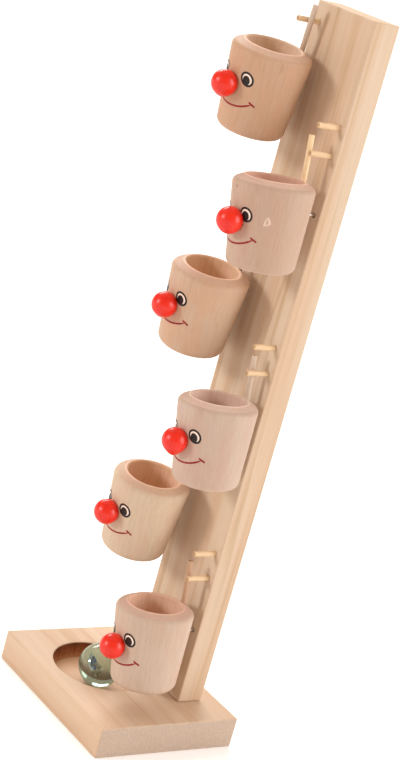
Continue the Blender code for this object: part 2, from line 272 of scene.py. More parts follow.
# %% [markdown]
# ## Wood
# The board and base are pine, the cups a fine pinkish wood, and the sticks birch. An image of wood would
# slide over the round cups. A solid texture doesn't: growth rings stand round a pith line outside the
# piece, and fibres and pores are noise drawn out along the grain, so end grain and side grain come out
# right on every face. The rings are a saw wave: early wood darkens slowly outwards and ends sharply.

# %% Rings and end grain
GRAIN_TURNS = {"X": (0, -math.pi / 2, 0), "Z": (0, 0, 0)}
WAVE_STEP = 2 * math.pi / 20  # a ring wave of scale 1 has rings this far apart
FADE_SCALE = 70.0  # spots of noise in a metre


def ring_wood(tree, coords, pale, deep, pith, ring_gap, ring_show):
    """Growth rings round a pith line, which fade in and out along the piece."""
    from_pith = add_node(tree, "Mapping", {"Vector": coords, "Location": pith, "Scale": (1, 1, 0.12)})
    rings = add_node(tree, "TexWave", {"Vector": from_pith, "Scale": WAVE_STEP / ring_gap, "Distortion": 8.0,
                                       "Detail": 3.0, "Detail Scale": 1.1},
                     wave_type="RINGS", rings_direction="Z", wave_profile="SAW")
    late = add_ramp(tree, rings.outputs["Fac"], [(0.0, 0), (0.6, 0.08), (0.88, 1), (0.97, 0.7), (1.0, 0)])
    wander = noise_along(tree, coords, 0.06, FADE_SCALE, 2.0, pith)
    fade = add_ramp(tree, wander, [(0.35, 0.15), (0.65, 1)])
    shown = mix(tree, 1.0, late, fade, "MULTIPLY")
    share = add_node(tree, "Math", {0: shown, 1: ring_show}, operation="MULTIPLY")
    return mix(tree, share, pale, deep)


def end_grain(tree, along):
    """A mask of the faces that look along the grain."""
    normal = add_node(tree, "TexCoord", {}).outputs["Normal"]
    facing = add_node(tree, "VectorRotate", {"Vector": normal, "Rotation": GRAIN_TURNS[along]},
                      rotation_type="EULER_XYZ")
    apart = add_node(tree, "SeparateXYZ", {"Vector": facing})
    share = add_node(tree, "Math", {0: apart.outputs["Z"]}, operation="ABSOLUTE")
    return add_ramp(tree, share, [(0.70, 0), (0.97, 0.85)])


print("grain can run along", list(GRAIN_TURNS))

# %% [markdown]
# Over the rings lie the marks of a plank's own life: soft blushes, darker streaks, fibres that catch the
# light and pores. Each is a noise of its own scale, mixed in one after the other, so a finish can have more or
# less of any of them. End grain gets a colour and a speckle of its own.

# %% Wood finish
FIBRE_SHADE = (0.80, 0.70, 0.60, 1.0)
SOFT_SCALE = 105.0  # this and the next four are spots of noise in a metre
DARK_SCALE = 160.0
SPECKLE_SCALE = 1050.0
FIBRE_SCALE = 1250.0
PORE_SCALE = 2300.0
DARK_PLACE = (0.3, 0.1, 0.2)
GRAIN_DEPTH = 0.25 * MM


def wood_finish(name, pale, deep, blush, end, along, pith, ring_gap, ring_show, fibre_show, streak, rough, bump,
                speckled=0.05):
    """Solid wood: rings, soft streaks, fibres and pores, and end grain with a colour and speckle of its own."""
    finish, tree, shader, own = new_finish(name)
    coords = add_node(tree, "Mapping", {"Vector": own, "Rotation": GRAIN_TURNS[along]})
    colour = ring_wood(tree, coords, pale, deep, pith, ring_gap, ring_show)
    soft = noise_along(tree, coords, streak, SOFT_SCALE, 3.0, pith)
    colour = mix(tree, add_ramp(tree, soft, [(0.36, 0), (0.66, 0.85)]), colour, blush)
    dark = noise_along(tree, coords, 0.5 * streak, DARK_SCALE, 2.0, DARK_PLACE)
    colour = mix(tree, add_ramp(tree, dark, [(0.50, 0), (0.72, ring_show)]), colour, deep)
    fibre = noise_along(tree, coords, 0.3 * streak, FIBRE_SCALE, 4.0, pith)
    fibre_tone = add_ramp(tree, fibre, [(0.30, FIBRE_SHADE), (0.60, WHITE)])
    colour = mix(tree, fibre_show, colour, fibre_tone, "MULTIPLY")
    pore = noise_along(tree, coords, 0.06, PORE_SCALE, 1.0, pith)
    colour = mix(tree, add_ramp(tree, pore, [(0.64, 0), (0.74, 1.2 * fibre_show)]), colour, deep)
    ends = end_grain(tree, along)
    speckle = noise_along(tree, coords, 0.1, SPECKLE_SCALE, 4.0, pith)
    speckle_tone = add_ramp(tree, speckle, [(0.38, 1 - speckled), (0.6, WHITE)])
    colour = mix(tree, ends, mix(tree, ends, colour, end), speckle_tone, "MULTIPLY")
    gloss = add_ramp(tree, fibre, [(0.25, rough + 0.12), (0.7, rough)])
    height = add_node(tree, "Math", {0: fibre, 1: pore}, operation="SUBTRACT")
    feed(tree, shader, {"Base Color": colour, "Roughness": gloss, "Specular IOR Level": 0.35,
                        "Normal": bumped(tree, height, bump, GRAIN_DEPTH)})
    return finish


print("fibre spots in a millimetre", FIBRE_SCALE * MM)

# %% Pine


def tones(*colours):
    """Several colours of a paint chart at once."""
    return [tone(*colour) for colour in colours]


BASE_GRAIN = {"along": "X", "pith": (0.004, 0.1142, 0.3), "ring_gap": 0.0356, "ring_show": 0.42,
              "fibre_show": 0.12, "streak": 0.08, "rough": 0.52, "bump": 0.2, "speckled": 0.15}
BASE_TONES = tones((219, 196, 171), (196, 156, 118), (214, 187, 160), (195, 176, 160))
# painted shade: a warmer copy of the base pine for the floor of the recess
RECESS_FLOOR_SHADE_TONES = tones((228, 192, 158), (205, 153, 109), (223, 183, 148), (204, 172, 148))
BOARD_TONES = tones((212, 192, 168), (182, 148, 108), (207, 178, 150), (213, 189, 160))
base_finish = wood_finish("base_pine", *BASE_TONES, **BASE_GRAIN)
recess_floor_shade_finish = wood_finish("recess_floor_shaded_pine", *RECESS_FLOOR_SHADE_TONES, **BASE_GRAIN)
board_finish = wood_finish("board_pine", *BOARD_TONES, along="Z", pith=(0.05, 0.06, 0.1), ring_gap=0.012,
                           ring_show=0.62, fibre_show=0.15, streak=0.05, rough=0.5, bump=0.2)
print("wood finishes", base_finish.name, recess_floor_shade_finish.name, board_finish.name)

# %% [markdown]
# ## Shaping helpers
# A turned piece is a half outline swept round an axis, and a stick, a screw thread or a twisted vane is a
# stack of rings. Both are the same thing to a mesh: rings of points joined by strips and closed at both
# ends. One helper skins such a stack, which keeps every piece a single closed solid.

# %% Rings and turned solids


def add_piece(name, shape, *finishes):
    """An object from a bmesh, with its finishes."""
    mesh = bpy.data.meshes.new(name)
    bmesh.ops.recalc_face_normals(shape, faces=shape.faces)
    shape.to_mesh(mesh)
    shape.free()
    piece = bpy.data.objects.new(name, mesh)
    SCENE_OBJECTS.link(piece)
    for finish in finishes:
        mesh.materials.append(finish)
    return piece


def skin(name, rings, first, last, *finishes):
    """A closed solid over a stack of rings, with a point at either end."""
    shape = bmesh.new()
    loops = [[shape.verts.new(point) for point in ring] for ring in rings]
    for loop, above in zip(loops, loops[1:]):
        for index in range(len(loop)):
            shape.faces.new((loop[index - 1], loop[index], above[index], above[index - 1]))
    for loop, tip in ((loops[0], first), (loops[-1], last)):
        end = shape.verts.new(tip)
        for index in range(len(loop)):
            shape.faces.new((loop[index - 1], loop[index], end))
    return add_piece(name, shape, *finishes)


def turns_of(steps):
    """The angles of a full turn in equal steps."""
    return [math.tau * index / steps for index in range(steps)]


def ring_at(radius, height, steps):
    """A ring of points round Z."""
    return [(radius * math.cos(turn), radius * math.sin(turn), height) for turn in turns_of(steps)]


def turned(name, outline, steps, *finishes):
    """A turned solid. The outline's (radius, height) points start and end on the axis."""
    rings = [ring_at(radius, height, steps) for radius, height in outline[1:-1]]
    return skin(name, rings, (0, 0, outline[0][1]), (0, 0, outline[-1][1]), *finishes)


def arc(middle, radius, start, end, steps):
    """Points along an arc of a turned outline, with angles in degrees from straight out."""
    turns = [math.radians(start + (end - start) * index / steps) for index in range(steps + 1)]
    return [(middle[0] + radius * math.cos(turn), middle[1] + radius * math.sin(turn)) for turn in turns]


print("points on an arc of 8 steps:", len(arc((0, 0), 1.0, 0, 90, 8)))

# %% [markdown]
# Holes and seats are cut with Booleans. The modifiers could stay live, but a settled mesh can be welded, so no
# sliver is left where a cut grazes an edge, and its creases can be marked by their angle.

# %% Cuts and shading
WELD = 0.001 * MM  # points nearer than this become one, so a cut leaves no slivers


def cut_away(piece, cutters):
    """Cuts each cutter out of a piece and throws the cutters away."""
    for cutter in cutters:
        boolean = piece.modifiers.new(cutter.name, "BOOLEAN")
        boolean.operation = "DIFFERENCE"
        boolean.object = cutter
        boolean.solver = "EXACT"
        boolean.material_mode = "TRANSFER"
    bpy.context.view_layer.update()
    settle(piece)
    for cutter in cutters:
        bpy.data.objects.remove(cutter, do_unlink=True)


def settle(piece, crease=32):
    """Makes a piece's modifiers part of its mesh, welds it and shades it smooth, but for its creases."""
    graph = bpy.context.evaluated_depsgraph_get()
    mesh = bpy.data.meshes.new_from_object(piece.evaluated_get(graph))
    shape = bmesh.new()
    shape.from_mesh(mesh)
    bmesh.ops.remove_doubles(shape, verts=shape.verts, dist=WELD)
    shape.to_mesh(mesh)
    shape.free()
    piece.modifiers.clear()
    piece.data = mesh
    mesh.shade_smooth()
    mesh.set_sharp_from_angle(angle=math.radians(crease))


def even_shading(piece):
    """Lets large flat faces set the shading at their rounded edges."""
    weighted = piece.modifiers.new("even shading", "WEIGHTED_NORMAL")
    weighted.keep_sharp = True


print("points weld below", WELD / MM, "mm")

# %% [markdown]
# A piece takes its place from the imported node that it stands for. A stick's line could be typed in. It is read
# from the node's points, as the line between the middles of its two halves, so it follows any change.

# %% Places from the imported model


def stand_for(piece, body, node):
    """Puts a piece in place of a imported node, on its body."""
    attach(piece, body)
    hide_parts(node)
    return piece


def along_node(node):
    """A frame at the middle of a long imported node, with Z along it, and the node's length."""
    points = [vertex.co for vertex in frame["nodes"][node].data.vertices]
    low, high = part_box(node)
    longest = max(range(3), key=lambda side: high[side] - low[side])
    middle = (low + high) / 2
    upper = [point for point in points if point[longest] > middle[longest]]
    lower = [point for point in points if point[longest] <= middle[longest]]
    axis = (sum(upper, Vector()) / len(upper) - sum(lower, Vector()) / len(lower)).normalized()
    reaches = [(point - middle).dot(axis) for point in points]
    turn = axis.to_track_quat("Z", "Y").to_matrix().to_4x4()
    return Matrix.Translation(middle) @ turn, max(reaches) - min(reaches)


print("a rest peg is", round(along_node("rest_peg_1")[1] / MM, 1), "mm long")

# %% [markdown]
# ## The base
# The base is a thick square of pine with its edges broken by sandpaper, and a round recess that catches the
# marble, bored with a flat cutter whose corner leaves a small cove. The floor of the recess has a warmer copy
# of the base pine, which is painted shade. The wall is darker brown, partly its own wood and partly painted
# shade, darkest at its upper edge. A box with a Bevel gives the sanded edges. The recess is cut by a turned
# tool that flares at the top, so its lip is sanded too. Two more tools sink the screws from below.

# %% Wall with painted shade
RECESS_DEPTH = 9.0 * MM
base_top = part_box("base_plate")[1].z
recess_floor = base_top - RECESS_DEPTH


def wall_tone_and_shade_finish():
    """The recess's wall: brown wood with painted shade, darker towards the top, with streaks."""
    finish, tree, shader, coords = new_finish("wall_tone_and_shade_pine")
    apart = add_node(tree, "SeparateXYZ", {"Vector": coords})
    share = add_node(tree, "MapRange", {"Value": apart.outputs["Z"], "From Min": recess_floor,
                                        "From Max": base_top})
    streak = noise_along(tree, coords, 0.25, 330.0, 4.0)
    # the browns below are partly the wall's own wood and partly painted shade, darkest towards the top
    shade_and_streak = mix(tree, 0.42, share, streak)
    browns = tones((198, 142, 102), (166, 106, 70), (134, 78, 46), (98, 54, 32))
    colour = add_ramp(tree, shade_and_streak, list(zip((0.2, 0.42, 0.62, 0.8), browns)))
    gloss = add_ramp(tree, streak, [(0.3, 0.4), (0.7, 0.6)])
    feed(tree, shader, {"Base Color": colour, "Roughness": gloss, "Specular IOR Level": 0.3,
                        "Normal": bumped(tree, streak, 0.3, GRAIN_DEPTH)})
    return finish


wall_tone_and_shade_pine = wall_tone_and_shade_finish()
print("recess floor at", round(recess_floor / MM, 1), "mm")

# %% Tools for the base
RECESS_RADIUS = 27.9 * MM
RECESS_MIDDLE = Vector((-9.8, -7.9, 0)) * MM
RECESS_COVE = 2.0 * MM
LIP_ROUND = 0.7 * MM
FLOOR_BAND = 0.1 * MM
# where the wall's painted shade begins
WALL_SHADE_FROM = 0.7 * LIP_ROUND  # below the base's top
ROUND_STEPS = 160
DRILL_STEPS = 32
SCREW_RADIUS = 1.8 * MM
SCREW_HEAD_RADIUS = 3.6 * MM
SCREW_HEAD = 2.2 * MM
SCREW_RIM = 0.4 * MM
SEAT_GAP = 0.12 * MM


def recess_tool():
    """The tool that bores the recess, with a cove at its foot and a flare at its lip."""
    cove = arc((RECESS_RADIUS - RECESS_COVE, recess_floor + RECESS_COVE), RECESS_COVE, -90, 0, 10)
    lip = arc((RECESS_RADIUS + LIP_ROUND, base_top - LIP_ROUND), LIP_ROUND, 180, 90, 6)
    above = base_top + LIP_ROUND
    outline = [(0, recess_floor), *cove, *lip, (RECESS_RADIUS + LIP_ROUND, above), (0, above)]
    tool = turned("recess_tool", outline, ROUND_STEPS, base_finish, wall_tone_and_shade_pine, recess_floor_shade_finish)
    tool.location = RECESS_MIDDLE
    for face in tool.data.polygons:
        # the recess floor takes the warmer pine of painted shade, the wall the finish with painted shade
        if face.center.z < recess_floor + FLOOR_BAND:
            face.material_index = 2
        elif face.center.z < base_top - WALL_SHADE_FROM:
            face.material_index = 1
    return tool


def screw_foot(low, high):
    """The middle of a screw's head, from the corners of its box."""
    return Vector(((low.x + high.x) / 2, (low.y + high.y) / 2, low.z))


def screw_tool(number):
    """The countersunk hole of a screw through the base, and on into the board."""
    low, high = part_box(f"board_screw_{number}")
    wide = SCREW_HEAD_RADIUS + SEAT_GAP
    narrow = SCREW_RADIUS + SEAT_GAP
    length = high.z - low.z + SEAT_GAP
    outline = [(0, -low.z - SEAT_GAP), (wide, -low.z - SEAT_GAP), (wide, SCREW_RIM), (narrow, SCREW_HEAD),
               (narrow, length), (0, length)]
    tool = turned(f"screw_tool_{number}", outline, DRILL_STEPS)
    tool.location = screw_foot(low, high)
    return tool


print("recess", round(2 * RECESS_RADIUS / MM, 1), "mm wide")

# %% Base plate
SANDED_EDGE = 1.0 * MM
EDGE_STEPS = 5


def add_block(name, node, edge, finish):
    """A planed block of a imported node's size, with its edges sanded."""
    low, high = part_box(node)
    shape = bmesh.new()
    size = Matrix.Diagonal((*(high - low), 1))
    bmesh.ops.create_cube(shape, size=1.0, matrix=Matrix.Translation((low + high) / 2) @ size)
    block = add_piece(name, shape, finish)
    bevel = block.modifiers.new("sanded edges", "BEVEL")
    bevel.width = edge
    bevel.segments = EDGE_STEPS
    return block


base = add_block("base_block", "base_plate", SANDED_EDGE, base_finish)
cut_away(base, [recess_tool(), screw_tool(1), screw_tool(2)])
even_shading(base)
stand_for(base, "stand", "base_plate")
print("base faces", len(base.data.polygons))

# %% [markdown]
# ## The board
# The upright board is planed pine with the grain along its height. Its front takes six nails in loose
# bores and twelve pegs in glued holes, and its foot two screws. The sticks would hide a block without holes
# too, but drilled ones leave a fine dark gap round each stick, and room for the nails to turn.

# %% Back board
BORE_PLAY = 0.5 * MM
GLUE_GAP = 0.12 * MM
STICK_RADIUS = 1.5 * MM
NAIL_RADIUS = 0.9 * MM
BOARD_EDGE = 0.8 * MM
BORE_LENGTH = 40 * MM


def hinge_of(number):
    """The hinge that a cup tips on."""
    return next(joint for joint in frame["joints"] if joint["name"] == f"cup_{number}_tip")


def drill(name, place, radius, length):
    """A drill along Z of a frame, centred there."""
    half = length / 2
    tool = turned(name, [(0, -half), (radius, -half), (radius, half), (0, half)], DRILL_STEPS)
    tool.matrix_world = place
    return tool


board = add_block("board_plank", "back_board", BOARD_EDGE, board_finish)
board_drills = []
for number in CUP_NUMBERS:
    lying = Matrix.Translation(hinge_of(number)["pos_m"]) @ Matrix.Rotation(math.pi / 2, 4, "X")
    board_drills.append(drill(f"bore_{number}", lying, NAIL_RADIUS + BORE_PLAY, BORE_LENGTH))
    for peg in (f"rest_peg_{number}", f"tip_peg_{number}"):
        place, length = along_node(peg)
        board_drills.append(drill(f"hole_{peg}", place, STICK_RADIUS + GLUE_GAP, length + GLUE_GAP))
cut_away(board, board_drills + [screw_tool(1), screw_tool(2)])
even_shading(board)
stand_for(board, "stand", "back_board")
print("board holes", 3 * len(CUP_NUMBERS) + 2, "faces", len(board.data.polygons))

# %% [markdown]
# ## The cups' places
# Each cup hangs on its nail at its own lean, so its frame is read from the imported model: the hinge gives
# the nail's line, the stop rod in the rim stands parallel to the cup's axis, and the cup's own points say
# how far out along the nail that axis is.

# %% Frames of the cups


def cup_frame(number):
    """A frame on a cup's axis at its nail: Z runs up the cup, and -Y out through its nose."""
    hinge = hinge_of(number)
    pivot = Vector(hinge["pos_m"])
    up = along_node(f"stop_rod_{number}")[0].col[2].to_3d().normalized()
    back = Vector(hinge["axis"])
    back = back if back.y > 0 else -back
    back = (back - up * back.dot(up)).normalized()
    reaches = [(vertex.co - pivot).dot(back) for vertex in frame["nodes"][f"cup_{number}"].data.vertices]
    middle = pivot + back * (min(reaches) + max(reaches)) / 2
    turn = Matrix((back.cross(up), back, up)).transposed().to_4x4()
    return Matrix.Translation(middle) @ turn


cup_frames = {number: cup_frame(number) for number in CUP_NUMBERS}
for number, place in cup_frames.items():
    lean = math.degrees(place.col[2].to_3d().angle(Vector((0, 0, 1))))
    print("cup", number, "at", [round(part / MM, 1) for part in place.translation], "leans", round(lean, 1))

# %% [markdown]
# ## The cups
# A cup is turned on a lathe from a length of wood with the grain up its axis: a slim taper, a softly rounded
# rim and foot, and a bored cavity that takes a little over half of the marble. It could start as a cylinder
# with a Bevel, but a half outline swept round the axis gives every round its own size. The nose's seat, the
# rod's hole and the nail's hole are cut after turning. No two cups come from the same stick, so each has its
# own tint and rings.

# %% Cup outline
RIM_HEIGHT = 18.5 * MM  # above the nail
FOOT_HEIGHT = -29.0 * MM
RIM_RADIUS = 22.0 * MM
FOOT_RADIUS = 17.9 * MM
CAVITY_RADIUS = 14.6 * MM
CAVITY_DEPTH = 15.5 * MM
CAVITY_FILLET = 2.0 * MM
MOUTH_ROUND = 1.1 * MM
RIM_DROP = 1.6 * MM
RIM_ROUND = 3.2 * MM
FOOT_ROUND = 4.5 * MM
WALL_STEPS = 14


def wall_radius(height):
    """Outer radius of a cup at a height above its nail."""
    share = (height - FOOT_HEIGHT) / (RIM_HEIGHT - FOOT_HEIGHT)
    return FOOT_RADIUS + (RIM_RADIUS - FOOT_RADIUS) * share


def cup_outline():
    """Half a cup, from the middle of its cavity floor over the rim to the middle of its foot."""
    floor = RIM_HEIGHT - CAVITY_DEPTH
    rim_z = RIM_HEIGHT - RIM_DROP - RIM_ROUND
    foot_z = FOOT_HEIGHT + FOOT_ROUND
    fillet = arc((CAVITY_RADIUS - CAVITY_FILLET, floor + CAVITY_FILLET), CAVITY_FILLET, -90, 0, 8)
    mouth = arc((CAVITY_RADIUS + MOUTH_ROUND, RIM_HEIGHT - MOUTH_ROUND), MOUTH_ROUND, 180, 50, 10)
    rim = arc((wall_radius(rim_z) - RIM_ROUND, rim_z), RIM_ROUND, 70, 0, 10)
    heights = [rim_z + (foot_z - rim_z) * step / WALL_STEPS for step in range(1, WALL_STEPS)]
    wall = [(wall_radius(height), height) for height in heights]
    foot = arc((wall_radius(foot_z) - FOOT_ROUND, foot_z), FOOT_ROUND, 0, -90, 12)
    return [(0, floor), *fillet, *mouth, *rim, *wall, *foot, (0, FOOT_HEIGHT)]


print("outline points", len(cup_outline()))

# %% Cup wood
CUP_TINTS = {  # the wall's pale wood, deep wood and blush, then the rim, and then the cavity, whose tint is painted light
    1: ((193, 161, 134), (176, 136, 107), (195, 156, 126), (204, 172, 150), (225, 199, 176)),
    2: ((190, 165, 145), (170, 137, 114), (190, 159, 139), (218, 186, 169), (223, 183, 163)),
    3: ((198, 171, 147), (178, 142, 113), (200, 164, 136), (206, 171, 148), (229, 196, 166)),
    4: ((196, 176, 159), (175, 147, 127), (196, 166, 150), (229, 202, 186), (227, 201, 186)),
    5: ((207, 189, 164), (187, 158, 131), (206, 178, 155), (203, 169, 144), (229, 194, 165)),
    6: ((200, 180, 161), (179, 150, 128), (198, 171, 152), (210, 175, 157), (233, 198, 175)),
}
CAVITY_SHADE = (0.78, 0.70, 0.62)
LIP_HIGHLIGHT_GAIN = 1.25  # painted highlight: the lip of the mouth is paler than the rim, for light caught along its edge
LIP_HIGHLIGHT_LIMIT = 0.9


def cup_finishes(number):
    """The wood of one cup: turned wall and rim, the cavity with painted light, and the lip between them with a
    painted highlight.
    """
    *wall, rim, cavity_light_tint = tones(*CUP_TINTS[number])
    # painted light: the cavity's tint is set apart from the wall's to brighten the shaded hollow; CAVITY_SHADE
    # darkens it for its rings and its floor
    shaded = (*(part * share for part, share in zip(cavity_light_tint, CAVITY_SHADE)), 1.0)
    # painted highlight: the lip's tone is the rim's made paler
    lip = (*(min(LIP_HIGHLIGHT_LIMIT, part * LIP_HIGHLIGHT_GAIN) for part in rim[:3]), 1.0)
    pith = (0.021 + 0.013 * math.sin(5 * number), 0.034 + 0.008 * math.cos(3 * number), 0.2 * number)
    grain = {"along": "Z", "pith": pith, "ring_gap": 0.0034, "streak": 0.3}
    return [wood_finish(f"cup_wood_{number}", *wall, rim, ring_show=0.2, fibre_show=0.22, rough=0.5, bump=0.16,
                        speckled=0.12, **grain),
            wood_finish(f"cup_cavity_painted_light_{number}", cavity_light_tint, shaded, cavity_light_tint, shaded, ring_show=0.3, fibre_show=0.25,
                        rough=0.6, bump=0.3, **grain),
            wood_finish(f"cup_lip_highlight_{number}", lip, rim, lip, lip, ring_show=0.1, fibre_show=0.1, rough=0.45,
                        bump=0.1, **grain)]


print("tints for cups", list(CUP_TINTS))

# %% [markdown]
# Some cups have a pin knot or a stain. Painted on, it would need a picture. As a soft oval in space, where it
# meets the wall, it is one more mix in the wood. One cup has lost a splinter, cut out by a small hull whose own
# finish, raw wood, stays on the cut.

# %% Marks and splinter
MARK_TONE = (128, 88, 66)
MARKS = {  # degrees round from the nose; mm above the nail, half wide and half tall; how dark
    1: [(71, 12.7, 1.3, 5.0, 0.20), (47, 10.0, 1.0, 4.0, 0.12)],
    2: [(-6.5, 12.5, 1.3, 1.4, 0.60)],
    3: [(48, 15.2, 1.1, 0.8, 0.30)],
    6: [(34, 16.8, 4.0, 1.1, 0.22), (56, 16.9, 3.4, 1.0, 0.20)],
}
CHIPPED_CUP = 2
CHIP_TURN = math.radians(52)
CHIP_HEIGHT = -1.6 * MM
CHIP_POINTS = [(-2.8, -3.2, -0.6), (0.4, -3.0, -0.6), (3.4, -1.4, -0.6), (2.4, 0.9, -0.6), (0.4, 3.4, -0.6),
               (-1.0, 1.6, -0.6), (-1.0, -1.6, 0.8), (-0.4, 0.6, 1.1), (0.6, -0.9, 0.9)]  # across, up, deep; mm
RAW_TONES = tones((229, 209, 194), (209, 178, 159), (226, 199, 182), (226, 201, 186))
raw_wood = wood_finish("raw_wood", *RAW_TONES, along="Z", pith=(0.02, 0.03, 0.4), ring_gap=0.001, ring_show=0.3,
                       fibre_show=0.3, streak=0.2, rough=0.7, bump=0.5)


def mark_wood(finish, marks):
    """Darkens a cup's wall softly round each of its marks."""
    tree = finish.node_tree
    shader = tree.nodes["Principled BSDF"]
    colour = shader.inputs["Base Color"].links[0].from_socket
    coords = add_node(tree, "TexCoord", {}).outputs["Object"]
    for turn, height, wide, tall, dark in marks:
        on_front = Vector((0, -wall_radius(height * MM), height * MM))
        spot = Matrix.Rotation(math.radians(turn), 3, "Z") @ on_front
        size = (wide * MM, wide * MM, tall * MM)
        from_spot = add_node(tree, "Mapping", {"Vector": coords, "Location": spot, "Scale": size},
                             vector_type="TEXTURE")
        far = add_node(tree, "VectorMath", {0: from_spot}, operation="LENGTH")
        mask = add_ramp(tree, far.outputs["Value"], [(0.1, dark), (1.0, 0)])
        colour = mix(tree, mask, colour, tone(*MARK_TONE))
    feed(tree, shader, {"Base Color": colour})


def chip_tool(number):
    """The splinter that broke out of one cup's side."""
    shape = bmesh.new()
    on_side = Matrix.Translation((0, -wall_radius(CHIP_HEIGHT), CHIP_HEIGHT))
    place = Matrix.Rotation(CHIP_TURN, 4, "Z") @ on_side
    for across, height, deep in CHIP_POINTS:
        shape.verts.new(place @ (Vector((across, deep, height)) * MM))
    bmesh.ops.convex_hull(shape, input=shape.verts)
    tool = add_piece("chip", shape, raw_wood)
    tool.matrix_world = cup_frames[number]
    return tool


print("marked cups", list(MARKS), "and a splinter off cup", CHIPPED_CUP)

# %% Turned cups
NOSE_RADIUS = 7.0 * MM
NOSE_SEAT = 3.0 * MM
NOSE_HEIGHT = -4.6 * MM
NOSE_STEPS = 72
NOSE_OUT = wall_radius(NOSE_HEIGHT) + NOSE_RADIUS - NOSE_SEAT
NOSE_PLACE = Matrix.Translation((0, -NOSE_OUT, NOSE_HEIGHT))  # in a cup's frame
CUP_STEPS = 144
CAVITY_EDGE = 0.65 * MOUTH_ROUND  # out from the cavity's wall, where the cavity's painted light ends
LIP_EDGE = 1.7 * MOUTH_ROUND  # and where the lip's painted highlight does


def ball_outline(radius, steps=40):
    """Half a ball, from its lowest point up."""
    return arc((0, 0), radius, -90, 90, steps)


def cup_tools(number):
    """What is cut from a turned cup: the seat of its nose and the holes of its rod and nail."""
    seat = turned("nose_seat", ball_outline(NOSE_RADIUS + SEAT_GAP), NOSE_STEPS)
    seat.matrix_world = cup_frames[number] @ NOSE_PLACE
    rod_place, rod_length = along_node(f"stop_rod_{number}")
    nail_place, nail_length = along_node(f"pivot_nail_{number}")
    rod_hole = drill("rod_hole", rod_place, STICK_RADIUS + SEAT_GAP, rod_length + SEAT_GAP)
    nail_hole = drill("nail_hole", nail_place, NAIL_RADIUS + SEAT_GAP, nail_length + SEAT_GAP)
    return [seat, rod_hole, nail_hole] + ([chip_tool(number)] if number == CHIPPED_CUP else [])


def add_cup(number):
    """One turned cup with its own piece of wood."""
    finishes = cup_finishes(number)
    mark_wood(finishes[0], MARKS.get(number, []))
    cup = turned(f"cup_{number}_turned", cup_outline(), CUP_STEPS, *finishes)
    for face in cup.data.polygons:
        from_mouth = math.hypot(face.center.x, face.center.y) - CAVITY_RADIUS
        if face.center.z > 0 and from_mouth < CAVITY_EDGE:
            face.material_index = 1
        elif face.center.z > 0 and from_mouth < LIP_EDGE:
            face.material_index = 2
    cup.matrix_world = cup_frames[number]
    cut_away(cup, cup_tools(number))
    even_shading(cup)
    return stand_for(cup, f"cup_{number}_body", f"cup_{number}")


for number in CUP_NUMBERS:
    cup = add_cup(number)
    print(cup.name, "faces", len(cup.data.polygons))

# %% [markdown]
# ## The noses
# Each nose is a wooden ball dipped in bright red lacquer, glued into a hollow in the cup. A clear coat over
# the colour would give a hard highlight. The real one is softer, so a smooth saturated red is enough, and a
# faint noise in its colour and surface gives the slight unevenness of dipped paint.

# %% Red noses
RIPPLE_DEPTH = 0.025 * MM
RIPPLE_SCALE = 300
DRIP_START = 0.78
DRIPS = {1: 0.4, 2: 0.2, 3: 0.4, 4: 1.1, 5: 0.4, 6: 0.2}  # millimetres


def lacquer_finish():
    """Glossy red lacquer, a little uneven."""
    finish, tree, shader, coords = new_finish("red_lacquer")
    clouds = noise_along(tree, coords, 1.0, 160.0, 3.0)
    colour = add_ramp(tree, clouds, [(0.35, tone(224, 30, 12)), (0.65, tone(233, 41, 18))])
    gloss = add_ramp(tree, clouds, [(0.3, 0.27), (0.7, 0.35)])
    ripple = noise_along(tree, coords, 1.0, 420.0, 1.0)
    feed(tree, shader, {"Base Color": colour, "Roughness": gloss, "Specular IOR Level": 0.5,
                        "Normal": bumped(tree, ripple, 0.06, 0.3 * MM)})
    return finish


red_lacquer = lacquer_finish()


def add_nose(number):
    """A dipped ball, with a little paint gathered at its lowest point."""
    nose = turned(f"nose_{number}_ball", ball_outline(NOSE_RADIUS), NOSE_STEPS, red_lacquer)
    for vertex in nose.data.vertices:
        low = max(0.0, -vertex.co.z / NOSE_RADIUS - DRIP_START) / (1 - DRIP_START)
        ripple = noise.noise(vertex.co * RIPPLE_SCALE + Vector((number, 0, 0)))
        vertex.co *= 1 + (ripple * RIPPLE_DEPTH + low ** 2 * DRIPS[number] * MM) / NOSE_RADIUS
    nose.matrix_world = cup_frames[number] @ NOSE_PLACE
    settle(nose)
    return stand_for(nose, f"cup_{number}_body", f"nose_{number}")


for number in CUP_NUMBERS:
    add_nose(number)
print("noses", len(CUP_NUMBERS))

# %% [markdown]
# ## The painted faces
# The faces are printed straight on the wood: two oval eyes, black round a white field, and a thin red smile
# with a tick across each end. A print could be a pattern in the cup's material. As thin films of ink laid on
# the curved wall they stay crisp from any distance, and each ink has its own gloss. A film is a grid of
# points given by the arc along the wall and the height above the nail.

# %% Inks


def ink_finish(name, dark, light, rough):
    """A printed ink with the faint mottle of the wood under it."""
    finish, tree, shader, coords = new_finish(name)
    mottle = noise_along(tree, coords, 0.15, 2200.0, 3.0)
    colour = add_ramp(tree, mottle, [(0.35, dark), (0.7, light)])
    gloss = add_ramp(tree, mottle, [(0.3, rough + 0.1), (0.7, rough)])
    feed(tree, shader, {"Base Color": colour, "Roughness": gloss, "Specular IOR Level": 0.4})
    return finish


eye_black = ink_finish("eye_black", tone(10, 6, 6), tone(28, 19, 17), 0.45)
eye_white = ink_finish("eye_white", tone(232, 214, 198), tone(244, 230, 216), 0.45)
smile_red = ink_finish("smile_red", tone(124, 12, 16), tone(154, 26, 28), 0.5)
print("inks", eye_black.name, eye_white.name, smile_red.name)

# %% Films of ink
INK_SINK = 0.06 * MM  # how deep a film reaches into the wall


